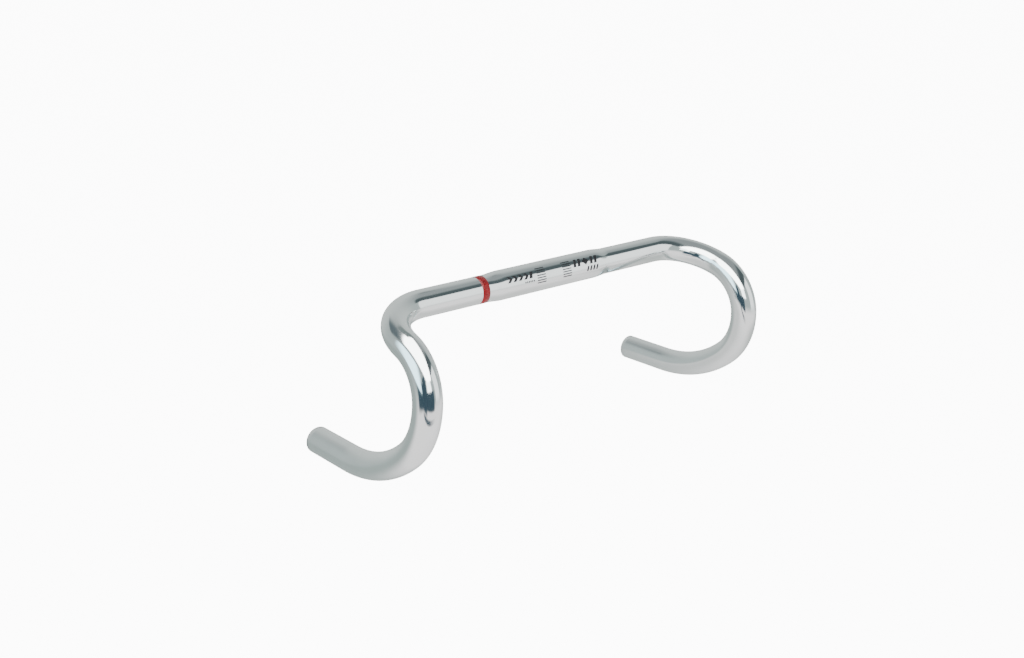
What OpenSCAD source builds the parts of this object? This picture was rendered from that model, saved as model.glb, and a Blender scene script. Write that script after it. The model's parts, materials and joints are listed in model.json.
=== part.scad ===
// Drop handlebar for a road bicycle: one bulged, butted and bent aluminium tube,
// with a colour band and a block of printed marks on the front of the clamp zone.
//
// +X runs along the tops, -Y points forwards (the side the marks are on), +Z is up.
// The origin is the middle of the stem clamp zone, on the tube's axis.
// The drop straights lie level, so the bar stands on them.

/* [Overall size] */
// Width between the drop ends, centre to centre
bar_width = 380; // [360:10:460]
// How far the hooks reach forward of the tops, centre to centre
reach = 74; // [65:1:95]
// How far the drop straights lie below the tops, centre to centre
drop = 130; // [115:1:160]

/* [Tube] */
// Outside diameter of the tube beyond the clamp zone
tube_d = 23.8; // [22.2:0.1:24.2]
// Outside diameter of the clamp zone
clamp_d = 26; // [25.4:0.1:31.8]
// Wall of the tube in the bends and the drops
tube_wall = 1.8; // [1.4:0.1:2.4]
// Wall of the tube in the clamp zone
clamp_wall = 2.6; // [2:0.1:3.2]
// Length of the clamp zone at its full diameter
clamp_zone = 108; // [90:1:116]
// Length of the taper at each side of the clamp zone
taper_length = 16; // [10:1:30]
// Chamfer on the edges of the cut ends
end_chamfer = 0.4; // [0.2:0.1:0.6]

/* [Bends] */
// Radius of the corner between the tops and the hook
corner_r = 47; // [40:1:50]
// Angle below level at which the corner meets the hook
ramp_angle = 17.5; // [10:0.5:24]
// Outward lean of each hook, seen from the front
flare_angle = 4; // [0:0.5:6]
// Radius of the lower part of the hook
lower_r = 126; // [90:1:130]
// Turn of the lower part of the hook
lower_turn = 40; // [30:1:45]
// Straight length at the end of each drop
drop_straight = 51; // [30:1:90]

/* [Colour band] */
// Width of the band along the tube
band_width = 7.5; // [4:0.5:12]
// Gap between the taper and the band
band_gap = 1.8; // [1:0.1:8]
// Thickness of the band
band_thickness = 0.1; // [0.08:0.01:0.2]
// Number of small specks printed round the band
speck_count = 24; // [12:1:36]
// Length of one speck along the tube
speck_length = 1; // [0.5:0.1:1.4]
// Width of one speck round the tube
speck_width = 0.6; // [0.3:0.1:0.8]

/* [Scales] */
// Thickness of the printed ink
ink = 0.06; // [0.05:0.01:0.1]
// Distance from the bar's middle to the near end of the scale lines
scale_start = 10; // [6:0.5:14]
// Length of one scale line
scale_length = 10; // [6:0.5:12]
// Width of one scale line
scale_width = 0.9; // [0.3:0.1:1]
// Number of lines in a scale
scale_count = 7; // [5:1:8]
// Distance between scale lines, round the tube
scale_pitch = 2.15; // [1.6:0.05:2.4]
// Height of the scale's middle line above the front of the tube, round the tube
scale_rise = 5.1; // [4:0.1:7]

/* [Marks] */
// Gap between the scale lines and the large mark beside them
mark_gap = 3; // [2:0.5:5]
// Gap between the large marks and the ends of the clamp zone
mark_margin = 1; // [1:0.5:8]
// Height of the left large mark, round the tube
left_height = 5.6; // [4:0.1:6.4]
// Height of the left large mark's middle above the front of the tube
left_rise = 7; // [6:0.1:9]
// Length of the left small mark
left_small_length = 11.5; // [8:0.5:14]
// Height of the left small mark, round the tube
left_small_height = 2; // [1:0.1:2.4]
// Height of the left small mark's middle above the front of the tube
left_small_rise = 1.6; // [1:0.1:2.8]
// Height of the right large mark, round the tube
right_height = 7; // [4:0.1:7]
// Height of the right large mark's middle above the front of the tube
right_rise = 8.3; // [7:0.1:9.5]
// Length of the right small mark
right_small_length = 15; // [8:0.5:16]
// Height of the right small mark, round the tube
right_small_height = 4.4; // [2:0.1:4.6]
// Height of the right small mark's middle above the front of the tube
right_small_rise = 1; // [0.5:0.1:2]
// Lean of the marks' strokes from upright
lean_angle = 18; // [0:1:24]

/* [Hidden] */
$fn = 96;

aluminium = [0.78, 0.79, 0.80];
ink_black = [0.09, 0.09, 0.10];
band_red = [0.70, 0.08, 0.10];
speck_white = [0.93, 0.90, 0.88];

tube_r = tube_d / 2;
clamp_r = clamp_d / 2;
tube_bore = tube_r - tube_wall;
clamp_bore = clamp_r - clamp_wall;
taper_end = clamp_zone / 2 + taper_length;
taper_steps = 8;
joint_length = 1;
joint_relief = 0.04;

// The corner bends from the tops into the plane of the hook
corner_turn = acos(sin(ramp_angle) * sin(flare_angle));
corner_tilt = atan2(sin(ramp_angle) * cos(flare_angle), cos(ramp_angle));
corner_side = corner_r * sin(corner_turn);
corner_fall = corner_r * (1 - cos(corner_turn));

// The hook turns past its foremost point, then in two arcs down to the drop straight
front_turn = 90 - ramp_angle;
front_r = (reach - corner_fall * cos(corner_tilt)) / (1 - sin(ramp_angle));
hook_fall = (drop - corner_fall * sin(corner_tilt)) / cos(flare_angle);
mid_turn = 90 - lower_turn;
mid_r = (hook_fall - front_r * cos(ramp_angle) - lower_r * (1 - cos(lower_turn)))
    / cos(lower_turn);
tops_end = bar_width / 2 - corner_side - hook_fall * sin(flare_angle);

band_near = taper_end + band_gap;
band_r = tube_r + band_thickness;
scale_middle = (scale_count - 1) / 2;
mark_start = scale_start + scale_length + mark_gap;
mark_length = clamp_zone / 2 - mark_margin - mark_start;

// Half of the tops: clamp zone, taper and plain tube
function blend(t) = t * t * (3 - 2 * t);
function taper_line(inner, outer) = [
    for (i = [0 : taper_steps])
        [inner + (outer - inner) * blend(i / taper_steps),
         clamp_zone / 2 + taper_length * i / taper_steps]
];
function reversed(points) = [for (i = [len(points) - 1 : -1 : 0]) points[i]];

module tops_half() {
    outside = taper_line(clamp_r, tube_r);
    inside = taper_line(clamp_bore, tube_bore);
    rotate([0, 90, 0])
        rotate_extrude()
            polygon(concat(
                [[clamp_bore, 0], [clamp_r, 0]],
                outside,
                [[tube_r, tops_end], [tube_bore, tops_end]],
                reversed(inside)
            ));
}

module tube_section() {
    difference() {
        circle(r = tube_r);
        circle(r = tube_bore);
    }
}

// A bend that starts at the origin along +X and turns towards +Y
module bend(radius, turn) {
    translate([0, radius, 0])
        rotate([0, 0, -90])
            rotate_extrude(angle = turn)
                translate([radius, 0])
                    tube_section();
}

module past_bend(radius, turn) {
    translate([radius * sin(turn), radius * (1 - cos(turn)), 0])
        rotate([0, 0, turn])
            children();
}

// A fine sleeve across each joint between two bends, which makes the tube one solid
module joint_sleeve() {
    rotate([0, 90, 0])
        translate([0, 0, -joint_length / 2])
            difference() {
                cylinder(h = joint_length, r = tube_r + joint_relief);
                translate([0, 0, -1])
                    cylinder(h = joint_length + 2, r = tube_bore - joint_relief);
            }
}

// The last straight, with a small chamfer on both edges of the cut end
module drop_end() {
    rotate([0, 90, 0])
        rotate_extrude()
            polygon([
                [tube_bore, 0],
                [tube_r, 0],
                [tube_r, drop_straight - end_chamfer],
                [tube_r - end_chamfer, drop_straight],
                [tube_bore + end_chamfer, drop_straight],
                [tube_bore, drop_straight - end_chamfer]
            ]);
}

module hook() {
    rotate([0, 0, ramp_angle]) {
        joint_sleeve();
        bend(front_r, front_turn);
        past_bend(front_r, front_turn) {
            joint_sleeve();
            bend(mid_r, mid_turn);
            past_bend(mid_r, mid_turn) {
                joint_sleeve();
                bend(lower_r, lower_turn);
                past_bend(lower_r, lower_turn) {
                    joint_sleeve();
                    drop_end();
                }
            }
        }
    }
}

module half_bar() {
    tops_half();
    translate([tops_end, 0, 0]) {
        joint_sleeve();
        rotate([180 + corner_tilt, 0, 0])
            bend(corner_r, corner_turn);
    }
    translate([
        tops_end + corner_side,
        -corner_fall * cos(corner_tilt),
        -corner_fall * sin(corner_tilt)
    ])
        rotate([0, -flare_angle, 0])
            rotate([-90, 0, -90])
                hook();
}

module bar_tube() {
    color(aluminium)
        union() {
            half_bar();
            mirror([1, 0, 0]) half_bar();
        }
}

// A thin sleeve round the tube from one place to another along it
module sleeve(from, to, inner, thickness) {
    translate([from, 0, 0])
        rotate([0, 90, 0])
            difference() {
                cylinder(h = to - from, r = inner + thickness);
                translate([0, 0, -1])
                    cylinder(h = to - from + 2, r = inner);
            }
}

module colour_band() {
    color(band_red)
        sleeve(-band_near - band_width, -band_near, tube_r, band_thickness);
}

// Ink on the clamp zone: the flat shape's x runs along the tube, and its y = 0
// lies at the given height round the tube above its front
module printed(rise) {
    angle = rise / clamp_r * 180 / PI;
    color(ink_black)
        intersection() {
            sleeve(-clamp_zone / 2, clamp_zone / 2, clamp_r, ink);
            rotate([-angle, 0, 0])
                rotate([90, 0, 0])
                    linear_extrude(height = clamp_r * 2)
                        children();
        }
}

module scale_lines(middle) {
    for (i = [0 : scale_count - 1])
        printed(scale_rise + (i - scale_middle) * scale_pitch)
            translate([middle, 0])
                square([scale_length, scale_width], center = true);
}

module left_scale() scale_lines(-scale_start - scale_length / 2);
module right_scale() scale_lines(scale_start + scale_length / 2);

// A leaning stroke, from its middle
module stroke(width, height) {
    shift = height / 2 * tan(lean_angle);
    polygon([
        [-width / 2 - shift, -height / 2],
        [width / 2 - shift, -height / 2],
        [width / 2 + shift, height / 2],
        [-width / 2 + shift, height / 2]
    ]);
}

// An arrowhead stroke that points along +x, from its middle
module chevron(width, height) {
    nose = height / 2;
    polygon([
        [-width / 2 - nose / 2, -height / 2],
        [width / 2 - nose / 2, -height / 2],
        [width / 2 + nose / 2, 0],
        [width / 2 - nose / 2, height / 2],
        [-width / 2 - nose / 2, height / 2],
        [-width / 2 + nose / 2, 0]
    ]);
}

module diamond(width, height) {
    polygon([[-width / 2, 0], [0, -height / 2], [width / 2, 0], [0, height / 2]]);
}

// Arrowheads followed by one broad stroke
module left_mark() {
    pitch = mark_length / 5;
    printed(left_rise)
        translate([-mark_start - mark_length, 0]) {
            for (i = [0 : 3])
                translate([pitch * (i + 0.5), 0]) chevron(pitch * 0.52, left_height);
            translate([pitch * 4.45, 0]) stroke(pitch * 0.55, left_height);
        }
}

// A row of small diamonds under the left mark
module left_small_mark() {
    pitch = left_small_length / 6;
    printed(left_small_rise)
        for (i = [0 : 5])
            translate([-mark_start - pitch * (i + 0.5), 0])
                diamond(pitch * 0.8, left_small_height);
}

// Leaning strokes on both sides of a diamond
module right_mark() {
    pitch = mark_length / 6;
    printed(right_rise)
        translate([mark_start, 0]) {
            for (i = [0, 1, 4, 5])
                translate([pitch * (i + 0.5), 0]) stroke(pitch * 0.6, right_height);
            translate([pitch * 3, 0]) diamond(pitch * 1.6, right_height);
        }
}

// Short leaning strokes under the right mark's far end
module right_small_mark() {
    pitch = right_small_length / 4;
    printed(right_small_rise)
        for (i = [0 : 3])
            translate([mark_start + mark_length - pitch * (i + 0.5), 0])
                stroke(pitch * 0.5, right_small_height);
}

// Specks round the middle of the colour band
module band_specks() {
    middle = -band_near - band_width / 2;
    color(speck_white)
        for (i = [0 : speck_count - 1])
            rotate([i * 360 / speck_count, 0, 0])
                intersection() {
                    sleeve(middle - speck_length, middle + speck_length, band_r, ink);
                    translate([middle, 0, 0])
                        rotate([90, 0, 0])
                            linear_extrude(height = band_r * 2)
                                square([speck_length, speck_width], center = true);
                }
}

bar_tube();
colour_band();
band_specks();
left_scale();
right_scale();
left_mark();
left_small_mark();
right_mark();
right_small_mark();
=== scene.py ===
"""A drop handlebar: a polished and satin aluminium tube with a red band and printed scales."""

import json
import math

import bmesh
import bpy
from mathutils import Matrix, Quaternion, Vector


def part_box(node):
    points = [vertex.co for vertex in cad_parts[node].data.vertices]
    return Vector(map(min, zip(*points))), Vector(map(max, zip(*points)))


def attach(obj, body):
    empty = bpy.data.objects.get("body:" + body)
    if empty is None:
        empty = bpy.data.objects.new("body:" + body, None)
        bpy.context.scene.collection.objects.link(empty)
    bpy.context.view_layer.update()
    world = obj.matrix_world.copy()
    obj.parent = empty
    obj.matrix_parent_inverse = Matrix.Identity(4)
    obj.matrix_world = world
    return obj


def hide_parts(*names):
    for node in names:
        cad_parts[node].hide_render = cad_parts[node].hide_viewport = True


bl_info = {
    "name": "Drop handlebar",
    "version": (1, 0, 0),
    "blender": (4, 5, 0),
    "location": "3D View > Sidebar > Handlebar",
    "description": "Builds a drop handlebar with its band and printed marks",
    "category": "Add Mesh",
}

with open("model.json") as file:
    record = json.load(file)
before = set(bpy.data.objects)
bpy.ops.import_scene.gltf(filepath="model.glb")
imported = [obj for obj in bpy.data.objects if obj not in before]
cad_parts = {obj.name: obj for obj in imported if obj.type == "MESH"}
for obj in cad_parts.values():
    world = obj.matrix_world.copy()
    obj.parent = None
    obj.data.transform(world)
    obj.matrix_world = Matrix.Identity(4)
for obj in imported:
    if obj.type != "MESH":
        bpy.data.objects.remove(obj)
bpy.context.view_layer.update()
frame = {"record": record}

MOUNTS = {mount["name"]: mount for mount in frame["record"]["mounts"]}
CLAMP_R = MOUNTS["stem_clamp"]["dims"]["r_mm"] / 1000
CLAMP_LENGTH = MOUNTS["stem_clamp"]["dims"]["length_mm"] / 1000
BORE_R = MOUNTS["right_bar_end"]["dims"]["r_mm"] / 1000
DROP_END = Vector(MOUNTS["right_bar_end"]["pos_m"])
BAND_LOW, BAND_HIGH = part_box("colour_band")
TUBE_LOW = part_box("bar_tube")[0]

# Rings of faces along each stretch of the tube.
RINGS = {
    "clamp": 12, "taper": 14, "tops": 16, "corner": 40,
    "front": 32, "middle": 28, "lower": 34, "drop": 10,
}
TUBE_MERGE = 1e-6
PRINT_MERGE = 1e-7
ROLL_STEP = 0.0003  # length of one face round the tube, in a print
BAND_EDGE_SHARE = 0.6  # bevel of the band's edges, as a share of its thickness
SHADE_FADE_LENGTH = 0.025  # how far the painted shade inside the bore takes to fade out before its pale mouth, out from the drop mount's middle

# Widths of the printed shapes, as shares of their pitch.
CHEVRON_SHARE = 0.52
LEFT_STROKE_SHARE = 0.55
SMALL_DIAMOND_SHARE = 0.8
RIGHT_STROKE_SHARE = 0.6
DIAMOND_SHARE = 1.6
SMALL_STROKE_SHARE = 0.5


def metres(name, description, default, **options):
    return bpy.props.FloatProperty(
        name=name, description=description, default=default,
        subtype="DISTANCE", unit="LENGTH", precision=4, **options,
    )


def degrees(name, description, default, **options):
    return bpy.props.FloatProperty(
        name=name, description=description, default=math.radians(default),
        subtype="ANGLE", unit="ROTATION", **options,
    )


def colour(name, description, default):
    return bpy.props.FloatVectorProperty(
        name=name, description=description, default=default,
        subtype="COLOR", size=3, min=0, max=1,
    )


class HandlebarTube(bpy.types.PropertyGroup):
    """Sizes of the bent tube"""

    half_width: metres("Half width", "Middle of the bar to the middle of a drop", DROP_END.x)
    drop: metres("Drop", "Depth of the drop straights below the tops", -DROP_END.z)
    reach: metres("Reach", "How far the hooks reach forward of the tops", 0.074)
    tube_r: metres("Tube radius", "Outside radius beyond the clamp zone", 0.0119)
    clamp_r: metres("Clamp radius", "Outside radius of the clamp zone", CLAMP_R)
    bore_r: metres("Bore radius", "Inside radius of the bends and drops", BORE_R)
    clamp_bore_r: metres("Clamp bore radius", "Inside radius of the clamp zone", 0.0104)
    clamp_length: metres("Clamp zone", "Length at the full clamp diameter", CLAMP_LENGTH)
    taper: metres("Taper", "Length of each taper", 0.016)
    corner_r: metres("Corner radius", "Radius between the tops and the hook", 0.047)
    ramp: degrees("Ramp", "Angle below level where the hook starts", 17.5)
    flare: degrees("Flare", "Outward lean of each hook", 4)
    lower_r: metres("Lower radius", "Radius of the lower part of the hook", 0.126)
    lower_turn: degrees("Lower turn", "Turn of the lower part of the hook", 40)
    straight: metres("Drop straight", "Straight length at the end of each drop", 0.051)
    chamfer: metres("End chamfer", "Chamfer on the cut ends", 0.0004)
    sides: bpy.props.IntProperty(
        name="Sides", description="Faces round the tube", default=96, min=24,
    )


class HandlebarPrint(bpy.types.PropertyGroup):
    """Sizes of the band and the printed marks"""

    ink: metres("Ink", "Thickness of the printed ink", 0.00006)
    film: metres("Film", "Thickness of the band", 0.0001)
    band_near: metres("Band near end", "Middle of the bar to its near edge", -BAND_HIGH.x)
    band_far: metres("Band far end", "Middle of the bar to its far edge", -BAND_LOW.x)
    scale_start: metres("Scale start", "Middle of the bar to the scale lines", 0.010)
    scale_length: metres("Scale length", "Length of one scale line", 0.010)
    scale_width: metres("Scale line width", "Width of one scale line", 0.0009)
    scale_pitch: metres("Scale pitch", "Distance between scale lines, round the tube", 0.00215)
    scale_rise: metres("Scale rise", "Height of the scale's middle line above the front", 0.0051)
    scale_count: bpy.props.IntProperty(
        name="Scale lines", description="Number of lines in a scale", default=7, min=3,
    )
    speck_count: bpy.props.IntProperty(
        name="Specks", description="Number of specks round the band", default=24, min=6,
    )
    speck_length: metres("Speck length", "Size of a speck along the tube", 0.001)
    speck_width: metres("Speck width", "Size of a speck round the tube", 0.0006)
    mark_gap: metres("Mark gap", "Gap between a scale and the mark beside it", 0.003)
    mark_margin: metres("Mark margin", "Gap between a mark and the end of the clamp zone", 0.001)
    left_height: metres("Left mark height", "Height of the left mark", 0.0056)
    left_rise: metres("Left mark rise", "Height of its middle above the front", 0.007)
    left_small_length: metres("Left small mark length", "Length along the tube", 0.0115)
    left_small_height: metres("Left small mark height", "Height of its diamonds", 0.002)
    left_small_rise: metres("Left small mark rise", "Height above the front", 0.0016)
    right_height: metres("Right mark height", "Height of the right mark", 0.007)
    right_rise: metres("Right mark rise", "Height of its middle above the front", 0.0083)
    right_small_length: metres("Right small mark length", "Length along the tube", 0.015)
    right_small_height: metres("Right small mark height", "Height of its strokes", 0.0044)
    right_small_rise: metres("Right small mark rise", "Height above the front", 0.001)
    lean: degrees("Lean", "Lean of the marks' strokes from upright", 18)


class HandlebarColours(bpy.types.PropertyGroup):
    """Colours of the finishes"""

    metal: colour("Aluminium", "Colour of the polished tube", (0.77, 0.80, 0.80))
    cut_metal: colour("Cut metal", "Colour of the cut ends", (0.86, 0.87, 0.88))
    band: colour("Band", "Colour of the band", (0.40, 0.008, 0.014))
    speck: colour("Specks", "Colour of the specks on the band", (0.44, 0.07, 0.07))
    ink: colour("Ink", "Colour of the printed marks", (0.012, 0.013, 0.016))
    floor: colour("Floor", "Colour of the floor", (0.90, 0.905, 0.91))


class HandlebarStudio(bpy.types.PropertyGroup):
    """Camera and studio"""

    azimuth: degrees("Azimuth", "Camera's direction round the bar", -40.38)
    elevation: degrees("Elevation", "Camera's height as an angle", 18.21)
    distance: metres("Distance", "Camera to the plane through the bar's middle", 1.0697)
    slide: metres("Slide", "Camera moved to its right", -0.0291)
    lift: metres("Lift", "Camera moved along its up direction", -0.0479)
    lens: bpy.props.FloatProperty(
        name="Lens", description="Focal length in millimetres", default=42.89, min=10,
        subtype="DISTANCE_CAMERA",
    )


# ---------------------------------------------------------------- shader expressions


class Value:
    """A number that varies over a surface, written as a Python expression."""

    def __init__(self, nodes, socket):
        self.nodes = nodes
        self.socket = socket

    def _math(self, operation, *others):
        made = self.nodes.add("ShaderNodeMath", {"operation": operation}, (self, *others))
        return Value(self.nodes, made.outputs[0])

    def __add__(self, other):
        return self._math("ADD", other)

    def __sub__(self, other):
        return self._math("SUBTRACT", other)

    def __mul__(self, other):
        return self._math("MULTIPLY", other)

    def __radd__(self, other):
        return self + other

    def __rsub__(self, other):
        made = self.nodes.add("ShaderNodeMath", {"operation": "SUBTRACT"}, (other, self))
        return Value(self.nodes, made.outputs[0])

    def cosine(self):
        return self._math("COSINE")

    def sine(self):
        return self._math("SINE")

    def between(self, low, high):
        """0 below low, 1 above high, and smooth between them."""
        made = self.nodes.add(
            "ShaderNodeMapRange", {"interpolation_type": "SMOOTHSTEP"},
            {"Value": self, "From Min": low, "From Max": high},
        )
        return Value(self.nodes, made.outputs[0])


class Nodes:
    """A node tree, and the one way of adding a node to it."""

    def __init__(self, tree):
        self.tree = tree

    def add(self, kind, settings=None, values=()):
        """Makes a node: its settings first, then the values or links of its sockets."""
        made = self.tree.nodes.new(kind)
        for key, value in (settings or {}).items():
            setattr(made, key, value)
        pairs = values.items() if isinstance(values, dict) else enumerate(values)
        for key, value in pairs:
            if isinstance(value, Value):
                self.tree.links.new(value.socket, made.inputs[key])
            elif isinstance(value, bpy.types.NodeSocket):
                self.tree.links.new(value, made.inputs[key])
            else:
                made.inputs[key].default_value = value
        return made

    def split(self, vector):
        made = self.add("ShaderNodeSeparateXYZ", None, (vector,))
        return [Value(self, made.outputs[axis]) for axis in range(3)]

    def mix(self, factor, first, second):
        made = self.add(
            "ShaderNodeMix", {"data_type": "RGBA"},
            {"Factor": factor, 6: as_rgba(first), 7: as_rgba(second)},
        )
        return made.outputs[2]


class Finish(Nodes):
    """A material with a Principled shader, and the nodes that feed it."""

    def __init__(self, name, **constants):
        self.material = bpy.data.materials.new(name)
        self.material.use_nodes = True
        super().__init__(self.material.node_tree)
        self.shader = next(n for n in self.tree.nodes if n.type == "BSDF_PRINCIPLED")
        for socket, value in constants.items():
            self.shader.inputs[socket.replace("_", " ")].default_value = value

    def place(self):
        return self.add("ShaderNodeTexCoord").outputs["Object"]

    def own_map(self, name):
        """The two values of the piece's own map."""
        made = self.add("ShaderNodeUVMap", {"uv_map": name})
        return self.split(made.outputs[0])[:2]

    def noise(self, vector, scale, detail=2.0, roughness=0.5):
        made = self.add(
            "ShaderNodeTexNoise", None,
            {"Vector": vector, "Scale": scale, "Detail": detail, "Roughness": roughness},
        )
        return Value(self, made.outputs[0])

    def vector(self, x, y, z):
        return self.add("ShaderNodeCombineXYZ", None, (x, y, z)).outputs[0]

    def bump(self, height, strength, distance):
        made = self.add(
            "ShaderNodeBump", None,
            {"Strength": strength, "Distance": distance, "Height": height},
        )
        self.tree.links.new(made.outputs[0], self.shader.inputs["Normal"])

    def feed(self, socket, value):
        source = value.socket if isinstance(value, Value) else value
        self.tree.links.new(source, self.shader.inputs[socket])


def as_rgba(value):
    if isinstance(value, bpy.types.NodeSocket):
        return value
    return (*value[:3], 1.0)


def shade(tint, share):
    """A colour with each channel times a share."""
    return [channel * share for channel in tint]


def tube_metal(colours):
    """Aluminium: buffed on the tops and the fronts of the hooks, satin on the drops."""
    made = Finish("tube_metal", Metallic=1.0)
    along, turn = made.own_map("Tube")
    place = made.place()
    smear = made.noise(place, 9.0, 3.0)
    patch = made.noise(place, 38.0, 2.0)
    angle = turn * math.tau
    line_place = made.vector(along * 900.0, angle.cosine() * 1.3, angle.sine() * 1.3)
    lines = made.noise(line_place, 1.0, 3.0, 0.65)
    grain = made.noise(place, 2600.0, 2.0, 0.6)
    satin = (along + (smear - 0.5) * 0.05).between(0.265, 0.345)
    clouded = shade(colours.metal, 0.965)
    made.feed("Base Color", made.mix(patch.between(0.3, 0.75), clouded, colours.metal))
    buffed = 0.07 + smear * 0.04 + (lines - 0.5) * 0.04
    brushed = 0.16 + patch * 0.05 + (grain - 0.5) * 0.05
    made.feed("Roughness", buffed * (1 - satin) + brushed * satin)
    height = lines * 0.25 + grain * (0.05 + satin * 0.3) + patch * 0.8
    made.bump(height, 0.06, 0.0001)
    return made.material


def cut_metal(colours):
    """The sawn and deburred metal at each end of the tube."""
    made = Finish("cut_metal", Metallic=1.0)
    place = made.place()
    turned = made.noise(place, 1500.0, 3.0, 0.7)
    dull = made.noise(place, 220.0, 2.0)
    made.feed("Base Color", made.mix(turned, shade(colours.cut_metal, 0.8), colours.cut_metal))
    made.feed("Roughness", 0.32 + turned * 0.16 + dull * 0.08)
    made.bump(turned, 0.35, 0.00008)
    return made.material


def bore_metal(colours):
    """The drawn and unpolished inside of the tube, with painted shade that darkens it to near
    black away from its ends.
    """
    made = Finish("bore_metal", Metallic=1.0)
    place = made.place()
    along, turn = made.own_map("Tube")
    angle = turn * math.tau
    drawn_place = made.vector(along * 12.0, angle.cosine() * 14.0, angle.sine() * 14.0)
    drawn = made.noise(drawn_place, 1.0, 3.0, 0.6)
    stain = made.noise(place, 90.0, 3.0)
    stained = shade(colours.cut_metal, 0.28)
    clean = shade(colours.cut_metal, 0.5)
    near = made.mix(stain.between(0.3, 0.8), stained, clean)
    # Painted shade: the bore's colour falls to near black deeper inside the hollow tube and fades
    # out towards the mouth.
    painted_shade_fade = made.split(place)[1].between(DROP_END.y, DROP_END.y + SHADE_FADE_LENGTH)
    made.feed("Base Color", made.mix(painted_shade_fade, shade(colours.cut_metal, 0.03), near))
    made.feed("Roughness", 0.42 + drawn * 0.2)
    made.bump(drawn, 0.3, 0.0001)
    return made.material


def printed_ink(colours):
    """Screen-printed ink, slightly uneven."""
    made = Finish("printed_ink", Specular_IOR_Level=0.25)
    place = made.place()
    coverage = made.noise(place, 1400.0, 3.0, 0.6)
    cloud = made.noise(place, 260.0, 2.0)
    thin = coverage.between(0.62, 0.80) * 0.5
    worn = [channel * 3.5 + 0.01 for channel in colours.ink]
    made.feed("Base Color", made.mix(thin, colours.ink, worn))
    made.feed("Roughness", 0.34 + cloud * 0.16 + coverage * 0.08)
    made.bump(coverage, 0.25, 0.00002)
    return made.material


def band_film(colours):
    """The glossy red film of the band."""
    made = Finish("band_film", Specular_IOR_Level=0.2, Coat_Weight=0.08, Coat_Roughness=0.08)
    place = made.place()
    cloud = made.noise(place, 160.0, 3.0)
    weave = made.noise(place, 1700.0, 2.0, 0.6)
    deep = shade(colours.band, 0.62)
    made.feed("Base Color", made.mix(cloud.between(0.25, 0.8), deep, colours.band))
    made.feed("Roughness", 0.26 + cloud * 0.10 + weave * 0.08)
    made.bump(weave, 0.2, 0.00003)
    return made.material


def speck_ink(colours):
    """Ink of the specks, a little lighter than the band."""
    made = Finish("speck_ink", Specular_IOR_Level=0.2)
    place = made.place()
    cloud = made.noise(place, 900.0, 3.0)
    made.feed("Base Color", made.mix(cloud, shade(colours.speck, 0.75), colours.speck))
    made.feed("Roughness", 0.4 + cloud * 0.15)
    made.bump(cloud, 0.2, 0.00002)
    return made.material


def studio_paper(colours):
    """Matt white paper of the floor, which also gives light."""
    made = Finish(
        "studio_paper", Specular_IOR_Level=0.1,
        Emission_Color=(1.0, 1.0, 1.0, 1.0), Emission_Strength=11.0,
    )
    fibre = made.noise(made.place(), 260.0, 3.0)
    made.feed("Base Color", made.mix(fibre, shade(colours.floor, 0.97), colours.floor))
    made.feed("Roughness", 0.8 + fibre * 0.1)
    return made.material


def card_paper(name, glow, soft):
    """A card of even brightness whose edges fade over a share of its width and height."""
    made = Finish(
        name, Base_Color=(0.0, 0.0, 0.0, 1.0), Specular_IOR_Level=0.0,
        Emission_Color=(*glow, 1.0), Emission_Strength=1.0,
    )
    across, up = made.own_map("Card")
    sides = across.between(0, soft[0]) * (1 - across.between(1 - soft[0], 1))
    ends = up.between(0, soft[1]) * (1 - up.between(1 - soft[2], 1))
    made.feed("Alpha", sides * ends)
    return made.material


# ---------------------------------------------------------------- the tube


class TubeSweep:
    """Draws one wall of a tube: a circle, extruded along straights and spun round bends."""

    def __init__(self, mesh, radius, sides):
        self.mesh = mesh
        self.place = Vector((0, 0, 0))
        self.heading = Vector((1, 0, 0))
        self.radius = radius
        self.along = 0.0
        layers = mesh.verts.layers.float
        self.length_layer = layers.get("along") or layers.new("along")
        self.turn_layer = layers.get("turn") or layers.new("turn")
        facing = Matrix(((0, 0, 1, 0), (0, 1, 0, 0), (-1, 0, 0, 0), (0, 0, 0, 1)))
        verts = bmesh.ops.create_circle(
            mesh, segments=sides, radius=radius, matrix=facing,
        )["verts"]
        self.edges = sorted({e for v in verts for e in v.link_edges}, key=lambda e: e.index)
        for vert in verts:
            vert[self.turn_layer] = math.atan2(vert.co.y, vert.co.z) / math.tau + 0.5

    def _mark(self, verts):
        for vert in verts:
            vert[self.length_layer] = self.along

    def straight(self, length, steps, radius=None):
        """Goes straight on, and changes smoothly to another radius if one is given."""
        first = self.radius
        for step in range(1, steps + 1):
            made = bmesh.ops.extrude_edge_only(self.mesh, edges=self.edges)["geom"]
            verts = [g for g in made if isinstance(g, bmesh.types.BMVert)]
            self.edges = [g for g in made if isinstance(g, bmesh.types.BMEdge)]
            self.along += length / steps
            self.place = self.place + self.heading * (length / steps)
            bmesh.ops.translate(self.mesh, verts=verts, vec=self.heading * (length / steps))
            self._mark(verts)
            if radius is not None:
                share = step / steps
                wanted = first + (radius - first) * share * share * (3 - 2 * share)
                scale = wanted / self.radius
                bmesh.ops.scale(
                    self.mesh, verts=verts, vec=(scale, scale, scale),
                    space=Matrix.Translation(-self.place),
                )
                self.radius = wanted

    def bend(self, radius, turn, toward, steps):
        """Turns towards a direction on an arc."""
        axis = self.heading.cross(toward).normalized()
        side = axis.cross(self.heading)
        for _ in range(steps):
            centre = self.place + side * radius
            made = bmesh.ops.spin(
                self.mesh, geom=self.edges, cent=centre, axis=axis, angle=turn / steps,
                steps=1, use_merge=False,
            )["geom_last"]
            verts = [g for g in made if isinstance(g, bmesh.types.BMVert)]
            self.edges = [g for g in made if isinstance(g, bmesh.types.BMEdge)]
            move = Quaternion(axis, turn / steps)
            self.place = centre + move @ (self.place - centre)
            self.heading = move @ self.heading
            side = move @ side
            self.along += radius * turn / steps
            self._mark(verts)


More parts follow.
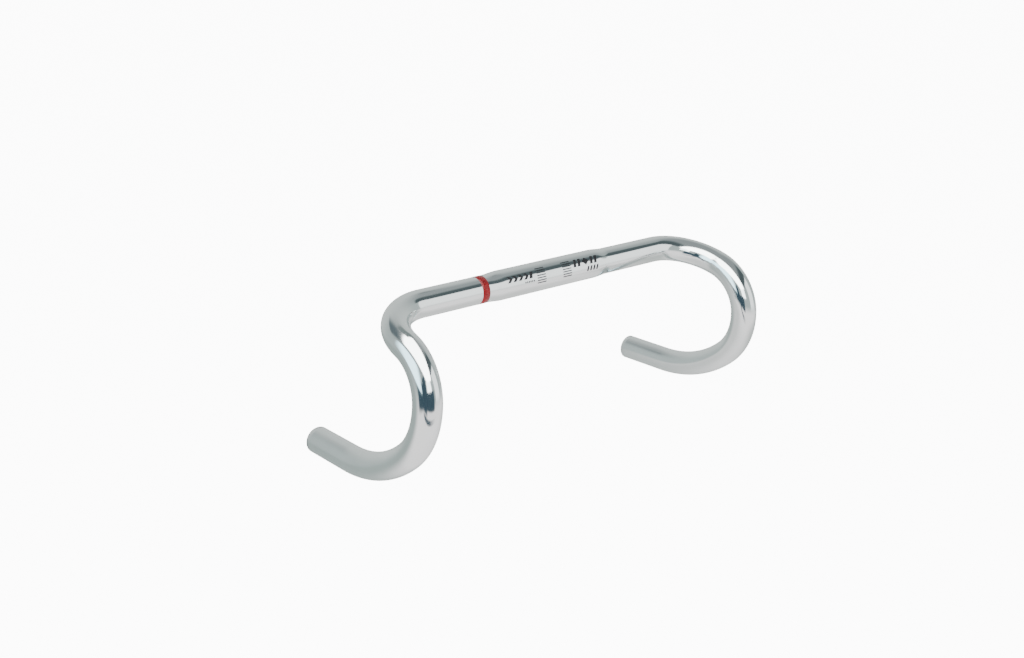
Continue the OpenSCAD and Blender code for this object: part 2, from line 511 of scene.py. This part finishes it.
class HookPlan:
    """The bends of half a bar, worked out from its width, reach and drop."""

    def __init__(self, tube):
        ramp, flare = tube.ramp, tube.flare
        self.corner_turn = math.acos(math.sin(ramp) * math.sin(flare))
        tilt = math.atan2(math.sin(ramp) * math.cos(flare), math.cos(ramp))
        fall = tube.corner_r * (1 - math.cos(self.corner_turn))
        self.front_turn = math.pi / 2 - ramp
        self.front_r = (tube.reach - fall * math.cos(tilt)) / (1 - math.sin(ramp))
        depth = (tube.drop - fall * math.sin(tilt)) / math.cos(flare)
        self.mid_turn = math.pi / 2 - tube.lower_turn
        lower_fall = tube.lower_r * (1 - math.cos(tube.lower_turn))
        mid_depth = depth - self.front_r * math.cos(ramp) - lower_fall
        self.mid_r = mid_depth / math.cos(tube.lower_turn)
        side = tube.corner_r * math.sin(self.corner_turn)
        self.tops_end = tube.half_width - side - depth * math.sin(flare)
        self.forward = Vector((0, -math.cos(tilt), -math.sin(tilt)))
        self.down = Vector((math.sin(flare), 0, -math.cos(flare)))
        self.back = Vector((0, 1, 0))


def sweep_wall(mesh, tube, plan, clamp_r, tube_r, end_step):
    """One wall of half the bar, from its middle to the end of a drop."""
    wall = TubeSweep(mesh, clamp_r, tube.sides)
    wall.straight(tube.clamp_length / 2, RINGS["clamp"])
    wall.straight(tube.taper, RINGS["taper"], tube_r)
    wall.straight(plan.tops_end - tube.clamp_length / 2 - tube.taper, RINGS["tops"])
    wall.bend(tube.corner_r, plan.corner_turn, plan.forward, RINGS["corner"])
    wall.bend(plan.front_r, plan.front_turn, plan.down, RINGS["front"])
    wall.bend(plan.mid_r, plan.mid_turn, plan.back, RINGS["middle"])
    wall.bend(tube.lower_r, tube.lower_turn, plan.back, RINGS["lower"])
    wall.straight(tube.straight - tube.chamfer, RINGS["drop"])
    wall.straight(tube.chamfer, 1, end_step)
    return wall


def write_tube_map(mesh):
    """Stores distance along the tube and turns round it as a map, with a clean seam underneath."""
    along, turn = mesh.verts.layers.float["along"], mesh.verts.layers.float["turn"]
    layer = mesh.loops.layers.uv.new("Tube")
    for face in mesh.faces:
        turns = [loop.vert[turn] for loop in face.loops]
        wraps = max(turns) - min(turns) > 0.5
        for loop, value in zip(face.loops, turns):
            shifted = value + 1 if wraps and value < 0.5 else value
            loop[layer].uv = (loop.vert[along], shifted)


def everything(mesh):
    return mesh.verts[:] + mesh.edges[:] + mesh.faces[:]


def finish_mesh(name, mesh, materials):
    """Turns a bmesh into a piece at the origin."""
    data = bpy.data.meshes.new(name)
    mesh.to_mesh(data)
    mesh.free()
    for material in materials:
        data.materials.append(material)
    piece = bpy.data.objects.new(name, data)
    bpy.context.scene.collection.objects.link(piece)
    return piece


def settle(piece, node):
    """The piece rides on the bar and stands in for a node, which is hidden."""
    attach(piece, "root")
    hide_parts(node)


class HANDLEBAR_OT_tube(bpy.types.Operator):
    """Make the bent tube, its bore and its cut ends"""

    bl_idname = "handlebar.tube"
    bl_label = "Tube"

    def execute(self, context):
        tube = context.scene.handlebar_tube
        colours = context.scene.handlebar_colours
        plan = HookPlan(tube)
        mesh = bmesh.new()
        outer_end = tube.tube_r - tube.chamfer
        inner_end = tube.bore_r + tube.chamfer
        outer = sweep_wall(mesh, tube, plan, tube.clamp_r, tube.tube_r, outer_end)
        outer_faces = set(mesh.faces)
        inner = sweep_wall(mesh, tube, plan, tube.clamp_bore_r, tube.bore_r, inner_end)
        inner_faces = set(mesh.faces) - outer_faces
        # Known fault: the bridge pairs the circles in opposite directions round the tube,
        # so its faces cross the opening and cover it.
        cut = bmesh.ops.bridge_loops(mesh, edges=outer.edges + inner.edges)["faces"]
        for face in inner_faces:
            face.material_index = 2
        for face in cut:
            face.material_index = 1
        bmesh.ops.mirror(mesh, geom=everything(mesh), axis="X", merge_dist=TUBE_MERGE)
        bmesh.ops.remove_doubles(mesh, verts=mesh.verts, dist=TUBE_MERGE)
        bmesh.ops.recalc_face_normals(mesh, faces=mesh.faces)
        write_tube_map(mesh)
        for face in mesh.faces:
            face.smooth = face.material_index != 1
        piece = finish_mesh(
            "handlebar_tube", mesh,
            [tube_metal(colours), cut_metal(colours), bore_metal(colours)],
        )
        settle(piece, "bar_tube")
        return {"FINISHED"}


# ---------------------------------------------------------------- band and prints


def wrap_on_tube(mesh, radius):
    """Rolls flat shapes round the tube: x stays along it, y is the way round from the front."""
    for vert in mesh.verts:
        angle = vert.co.y / radius
        height = radius + vert.co.z
        vert.co = Vector((vert.co.x, -math.cos(angle) * height, math.sin(angle) * height))


def film(name, mesh, radius, thickness, material):
    """Cuts flat shapes across so that they roll smoothly, thickens them and rolls them."""
    low = min(v.co.y for v in mesh.verts)
    high = max(v.co.y for v in mesh.verts)
    cut = low + ROLL_STEP
    while cut < high:
        bmesh.ops.bisect_plane(
            mesh, geom=everything(mesh), plane_co=(0, cut, 0), plane_no=(0, 1, 0),
            dist=PRINT_MERGE,
        )
        cut += ROLL_STEP
    bmesh.ops.recalc_face_normals(mesh, faces=mesh.faces)
    for face in mesh.faces:
        if face.normal.z < 0:
            face.normal_flip()
    bmesh.ops.solidify(mesh, geom=mesh.faces[:], thickness=-thickness)
    wrap_on_tube(mesh, radius)
    bmesh.ops.recalc_face_normals(mesh, faces=mesh.faces)
    return finish_mesh(name, mesh, [material])


def add_outline(mesh, points):
    """One flat face from its corners, in metres."""
    mesh.faces.new([mesh.verts.new((x, y, 0)) for x, y in points])


def stroke(mesh, x, y, width, height, lean):
    shift = height / 2 * math.tan(lean)
    add_outline(mesh, [
        (x - width / 2 - shift, y - height / 2), (x + width / 2 - shift, y - height / 2),
        (x + width / 2 + shift, y + height / 2), (x - width / 2 + shift, y + height / 2),
    ])


def chevron(mesh, x, y, width, height):
    """An arrowhead stroke that points along +x, in two halves that meet at its middle."""
    nose = height / 4
    for side in (-1, 1):
        add_outline(mesh, [
            (x - width / 2 + nose, y), (x + width / 2 + nose, y),
            (x + width / 2 - nose, y + side * height / 2),
            (x - width / 2 - nose, y + side * height / 2),
        ])
    bmesh.ops.remove_doubles(mesh, verts=mesh.verts, dist=PRINT_MERGE)


def diamond(mesh, x, y, width, height):
    add_outline(mesh, [
        (x - width / 2, y), (x, y - height / 2), (x + width / 2, y), (x, y + height / 2),
    ])


class HANDLEBAR_OT_band(bpy.types.Operator):
    """Make the band round the tube and the specks on it"""

    bl_idname = "handlebar.band"
    bl_label = "Band"

    def execute(self, context):
        tube = context.scene.handlebar_tube
        prints = context.scene.handlebar_print
        colours = context.scene.handlebar_colours
        outer = tube.tube_r + prints.film
        edge = prints.film * BAND_EDGE_SHARE
        mesh = bmesh.new()
        outline = [
            (-prints.band_near, tube.tube_r), (-prints.band_near, outer - edge),
            (-prints.band_near - edge, outer), (-prints.band_far + edge, outer),
            (-prints.band_far, outer - edge), (-prints.band_far, tube.tube_r),
        ]
        verts = [mesh.verts.new((x, 0, r)) for x, r in outline]
        edges = [mesh.edges.new(pair) for pair in zip(verts, verts[1:] + verts[:1])]
        bmesh.ops.spin(
            mesh, geom=verts + edges, cent=(0, 0, 0), axis=(1, 0, 0), angle=math.tau,
            steps=tube.sides * 2, use_merge=True,
        )
        bmesh.ops.remove_doubles(mesh, verts=mesh.verts, dist=PRINT_MERGE)
        bmesh.ops.recalc_face_normals(mesh, faces=mesh.faces)
        for face in mesh.faces:
            face.smooth = True
        piece = finish_mesh("band", mesh, [band_film(colours)])
        settle(piece, "colour_band")

        mesh = bmesh.new()
        middle = -(prints.band_near + prints.band_far) / 2
        for index in range(prints.speck_count):
            around = (index / prints.speck_count - 0.5) * math.tau * outer
            stroke(mesh, middle, around, prints.speck_length, prints.speck_width, 0)
        piece = film("band_flecks", mesh, outer, prints.ink, speck_ink(colours))
        settle(piece, "band_specks")
        return {"FINISHED"}


class HANDLEBAR_OT_scales(bpy.types.Operator):
    """Make the two groups of alignment lines"""

    bl_idname = "handlebar.scales"
    bl_label = "Scales"

    def execute(self, context):
        tube = context.scene.handlebar_tube
        prints = context.scene.handlebar_print
        ink = printed_ink(context.scene.handlebar_colours)
        middle = prints.scale_start + prints.scale_length / 2
        lowest = prints.scale_rise - (prints.scale_count - 1) / 2 * prints.scale_pitch
        sides = (("scale_left", "left_scale", -middle), ("scale_right", "right_scale", middle))
        for name, node, x in sides:
            mesh = bmesh.new()
            for index in range(prints.scale_count):
                rise = lowest + index * prints.scale_pitch
                stroke(mesh, x, rise, prints.scale_length, prints.scale_width, 0)
            piece = film(name, mesh, tube.clamp_r, prints.ink, ink)
            settle(piece, node)
        return {"FINISHED"}


class HANDLEBAR_OT_marks(bpy.types.Operator):
    """Make the printed marks on both sides of the scales"""

    bl_idname = "handlebar.marks"
    bl_label = "Marks"

    def execute(self, context):
        tube = context.scene.handlebar_tube
        prints = context.scene.handlebar_print
        ink = printed_ink(context.scene.handlebar_colours)
        start = prints.scale_start + prints.scale_length + prints.mark_gap
        length = tube.clamp_length / 2 - prints.mark_margin - start

        def settle_mark(name, mesh, node):
            settle(film(name, mesh, tube.clamp_r, prints.ink, ink), node)

        mesh = bmesh.new()
        rise, height = prints.left_rise, prints.left_height
        pitch = length / 5
        for index in range(4):
            x = -start - length + pitch * (index + 0.5)
            chevron(mesh, x, rise, pitch * CHEVRON_SHARE, height)
        x = -start - length + pitch * 4.45
        stroke(mesh, x, rise, pitch * LEFT_STROKE_SHARE, height, prints.lean)
        settle_mark("mark_left", mesh, "left_mark")

        mesh = bmesh.new()
        rise, height = prints.left_small_rise, prints.left_small_height
        pitch = prints.left_small_length / 6
        for index in range(6):
            x = -start - pitch * (index + 0.5)
            diamond(mesh, x, rise, pitch * SMALL_DIAMOND_SHARE, height)
        settle_mark("small_mark_left", mesh, "left_small_mark")

        mesh = bmesh.new()
        rise, height = prints.right_rise, prints.right_height
        pitch = length / 6
        for index in (0, 1, 4, 5):
            x = start + pitch * (index + 0.5)
            stroke(mesh, x, rise, pitch * RIGHT_STROKE_SHARE, height, prints.lean)
        diamond(mesh, start + pitch * 3, rise, pitch * DIAMOND_SHARE, height)
        settle_mark("mark_right", mesh, "right_mark")

        mesh = bmesh.new()
        rise, height = prints.right_small_rise, prints.right_small_height
        pitch = prints.right_small_length / 4
        for index in range(4):
            x = start + length - pitch * (index + 0.5)
            stroke(mesh, x, rise, pitch * SMALL_STROKE_SHARE, height, prints.lean)
        settle_mark("small_mark_right", mesh, "right_small_mark")
        return {"FINISHED"}


# ---------------------------------------------------------------- studio

FLOOR_SIZE = 30
FLOOR_GAP = 0.0001
SENSOR_WIDTH = 36
KEY_PLACE = Vector((-0.8, -0.9, 1.3))
KEY_AIM = Vector((0, 0, -0.05))
KEY_SIZE = 1.2
KEY_ENERGY = 14

DARK = (0.06, 0.105, 0.14)
EVEN = (0.08, 0.08, 0.08)
# Each card: name, place, aim, size, glow, and how soft its sides, bottom and top are.
CARDS = (
    ("top_box", (-0.258, -0.44, 0.45), (-0.258, -0.44, 0), (0.655, 1.22), (10, 10, 9.8), EVEN),
    ("box_corner", (0.03, 0.15, 0.449), (0.03, 0.15, 0), (0.36, 0.19),
     (0.28, 0.33, 0.33), (0.1, 0.15, 0.15)),
    ("back_flag", (-0.42, 0.52, 0.58), (-0.42, 0.52, 0), (0.78, 0.58),
     (0.17, 0.21, 0.23), (0.35, 0.2, 0.2)),
    ("left_box", (-1.15, 0.10, 0.42), (0, 0.10, 0.42), (1.50, 0.86),
     (2.9, 4.1, 4.6), (0.3, 0.08, 0.08)),
    ("front_box", (-0.48, -1.3, 0.40), (-0.48, 0, 0.40), (0.80, 0.50), (5, 5.2, 5.2), EVEN),
    ("front_block", (-0.55, -0.47, -0.075), (-0.55, 0, -0.075), (1.05, 0.26),
     DARK, (0.08, 0.15, 0.08)),
    ("left_block", (-0.85, -0.22, -0.125), (0, -0.22, -0.125), (0.66, 0.30),
     DARK, (0.2, 0.3, 0.2)),
    ("side_block", (-0.72, -0.466, -0.17), (-0.72, 0, -0.17), (0.60, 0.24),
     DARK, (0.25, 0.3, 0.1)),
    ("camera_block", (-0.64, -0.468, 0.10), (-0.64, 0, 0.10), (0.42, 0.48),
     DARK, (0.15, 0.1, 0.15)),
    ("camera_bag", (-1.10, -0.55, 0.10), (0, 0, 0.10), (0.30, 0.50), DARK, (0.3, 0.1, 0.2)),
    ("camera_foot", (-0.54, -0.464, -0.308), (-0.54, 0, -0.308), (1.20, 0.10),
     DARK, (0.35, 0.3, 0.3)),
    ("right_flag", (0.886, -1.134, 1.464), (0, 0, 0), (2.6, 1.1),
     (0.105, 0.135, 0.145), (0.1, 0.12, 0.45)),
    ("right_fill", (1.32, -1.47, 0.31), (0, 0, 0), (1.5, 1.95),
     (2.1, 2.15, 2.15), (0.1, 0.3, 0.04)),
    # right_shade and bar_shade are painted shadow: dim sheets on the floor that stand in, in the
    # metal's reflections, for the shadow of the bar and its right hook on the paper.
    ("right_shade", (0.46, 0.0, -0.143), (0.46, 0.0, 1), (0.62, 0.50),
     (0.86, 0.90, 0.88), (0.2, 0.3, 0.3)),
    ("bar_shade", (0.02, 0.01, -0.144), (0.02, 0.01, 1), (0.50, 0.36),
     (1.15, 1.15, 1.14), (0.4, 0.4, 0.4)),
)


def add_card(name, place, aim, size, glow, soft):
    """A softbox, a dark flag or a dim floor sheet of painted shadow, which shows only in the
    metal's reflections.
    """
    mesh = bmesh.new()
    mesh.loops.layers.uv.new("Card")
    bmesh.ops.create_grid(mesh, x_segments=1, y_segments=1, size=0.5, calc_uvs=True)
    bmesh.ops.scale(mesh, verts=mesh.verts, vec=(size[0], size[1], 1))
    turn = (Vector(aim) - Vector(place)).to_track_quat("Z", "Y").to_matrix().to_4x4()
    bmesh.ops.transform(mesh, matrix=Matrix.Translation(place) @ turn, verts=mesh.verts)
    card = finish_mesh(name, mesh, [card_paper(name + "_paper", glow, soft)])
    card.visible_camera = False
    card.visible_diffuse = False
    card.visible_shadow = False


class HANDLEBAR_OT_stage(bpy.types.Operator):
    """Make the floor, the room, the cards, the light and the camera"""

    bl_idname = "handlebar.stage"
    bl_label = "Stage"

    def execute(self, context):
        colours = context.scene.handlebar_colours
        self.make_floor(colours)
        self.make_world(context)
        for card in CARDS:
            add_card(*card)
        self.make_light(context)
        self.make_camera(context)
        return {"FINISHED"}

    def make_floor(self, colours):
        mesh = bmesh.new()
        bmesh.ops.create_grid(mesh, x_segments=8, y_segments=8, size=FLOOR_SIZE)
        bmesh.ops.translate(mesh, verts=mesh.verts, vec=(0, 0, TUBE_LOW.z - FLOOR_GAP))
        floor = finish_mesh("studio_floor", mesh, [studio_paper(colours)])
        floor.visible_glossy = False
        floor.visible_diffuse = False
        floor.visible_shadow = False

    def make_world(self, context):
        """A grey room that is bright low in front, darker overhead and light far behind."""
        world = bpy.data.worlds.new("studio")
        context.scene.world = world
        world.use_nodes = True
        room = Nodes(world.node_tree)
        way = room.add("ShaderNodeTexCoord").outputs["Generated"]
        across, back, up = room.split(way)
        front_paper, back_paper = (1.76, 1.70, 1.71), (0.54, 0.63, 0.61)
        paper = room.mix(back.between(0.10, 0.7), front_paper, back_paper)
        wall, overhead, far_wall = (0.66, 0.75, 0.74), (0.38, 0.42, 0.43), (0.90, 0.96, 0.94)
        ceiling = room.mix(up.between(0.3, 0.95), wall, overhead)
        far = (across * 0.6 + back * 0.8).between(0.35, 0.85)
        ceiling = room.mix(far, ceiling, far_wall)
        seen = room.mix(up.between(-0.32, -0.04), paper, ceiling)
        background = world.node_tree.nodes["Background"]
        world.node_tree.links.new(seen, background.inputs[0])

    def make_light(self, context):
        data = bpy.data.lights.new("key", "AREA")
        data.shape = "RECTANGLE"
        data.size, data.size_y = KEY_SIZE, KEY_SIZE
        data.energy = KEY_ENERGY
        key = bpy.data.objects.new("key", data)
        key.location = KEY_PLACE
        key.rotation_euler = (KEY_AIM - KEY_PLACE).to_track_quat("-Z", "Y").to_euler()
        key.visible_camera = False
        key.visible_glossy = False
        context.scene.collection.objects.link(key)

    def make_camera(self, context):
        studio = context.scene.handlebar_studio
        azimuth, elevation = studio.azimuth, studio.elevation
        back = Vector((
            math.sin(azimuth) * math.cos(elevation),
            -math.cos(azimuth) * math.cos(elevation),
            math.sin(elevation),
        ))
        right = Vector((0, 0, 1)).cross(back).normalized()
        up = back.cross(right)
        data = bpy.data.cameras.new("camera")
        data.sensor_width = SENSOR_WIDTH
        data.lens = studio.lens
        camera = bpy.data.objects.new("camera", data)
        camera.rotation_euler = Matrix((right, up, back)).transposed().to_euler()
        camera.location = back * studio.distance + right * studio.slide + up * studio.lift
        context.scene.collection.objects.link(camera)
        context.scene.camera = camera


class HANDLEBAR_PT_panel(bpy.types.Panel):
    """Sizes, colours and pieces of the handlebar"""

    bl_idname = "HANDLEBAR_PT_panel"
    bl_label = "Handlebar"
    bl_space_type = "VIEW_3D"
    bl_region_type = "UI"
    bl_category = "Handlebar"

    def draw(self, context):
        for group in (
            context.scene.handlebar_tube, context.scene.handlebar_print,
            context.scene.handlebar_colours, context.scene.handlebar_studio,
        ):
            box = self.layout.box()
            for name in group.__annotations__:
                box.prop(group, name)
        for operator in OPERATORS:
            self.layout.operator(operator.bl_idname)


GROUPS = {
    "handlebar_tube": HandlebarTube,
    "handlebar_print": HandlebarPrint,
    "handlebar_colours": HandlebarColours,
    "handlebar_studio": HandlebarStudio,
}
OPERATORS = (
    HANDLEBAR_OT_tube, HANDLEBAR_OT_band, HANDLEBAR_OT_scales,
    HANDLEBAR_OT_marks, HANDLEBAR_OT_stage,
)


def register():
    for name, group in GROUPS.items():
        bpy.utils.register_class(group)
        setattr(bpy.types.Scene, name, bpy.props.PointerProperty(type=group))
    for operator in OPERATORS:
        bpy.utils.register_class(operator)
    bpy.utils.register_class(HANDLEBAR_PT_panel)


def unregister():
    bpy.utils.unregister_class(HANDLEBAR_PT_panel)
    for operator in reversed(OPERATORS):
        bpy.utils.unregister_class(operator)
    for name, group in GROUPS.items():
        delattr(bpy.types.Scene, name)
        bpy.utils.unregister_class(group)


def main():
    register()
    bpy.ops.handlebar.tube()
    bpy.ops.handlebar.band()
    bpy.ops.handlebar.scales()
    bpy.ops.handlebar.marks()
    bpy.ops.handlebar.stage()


if __name__ == "__main__":
    main()
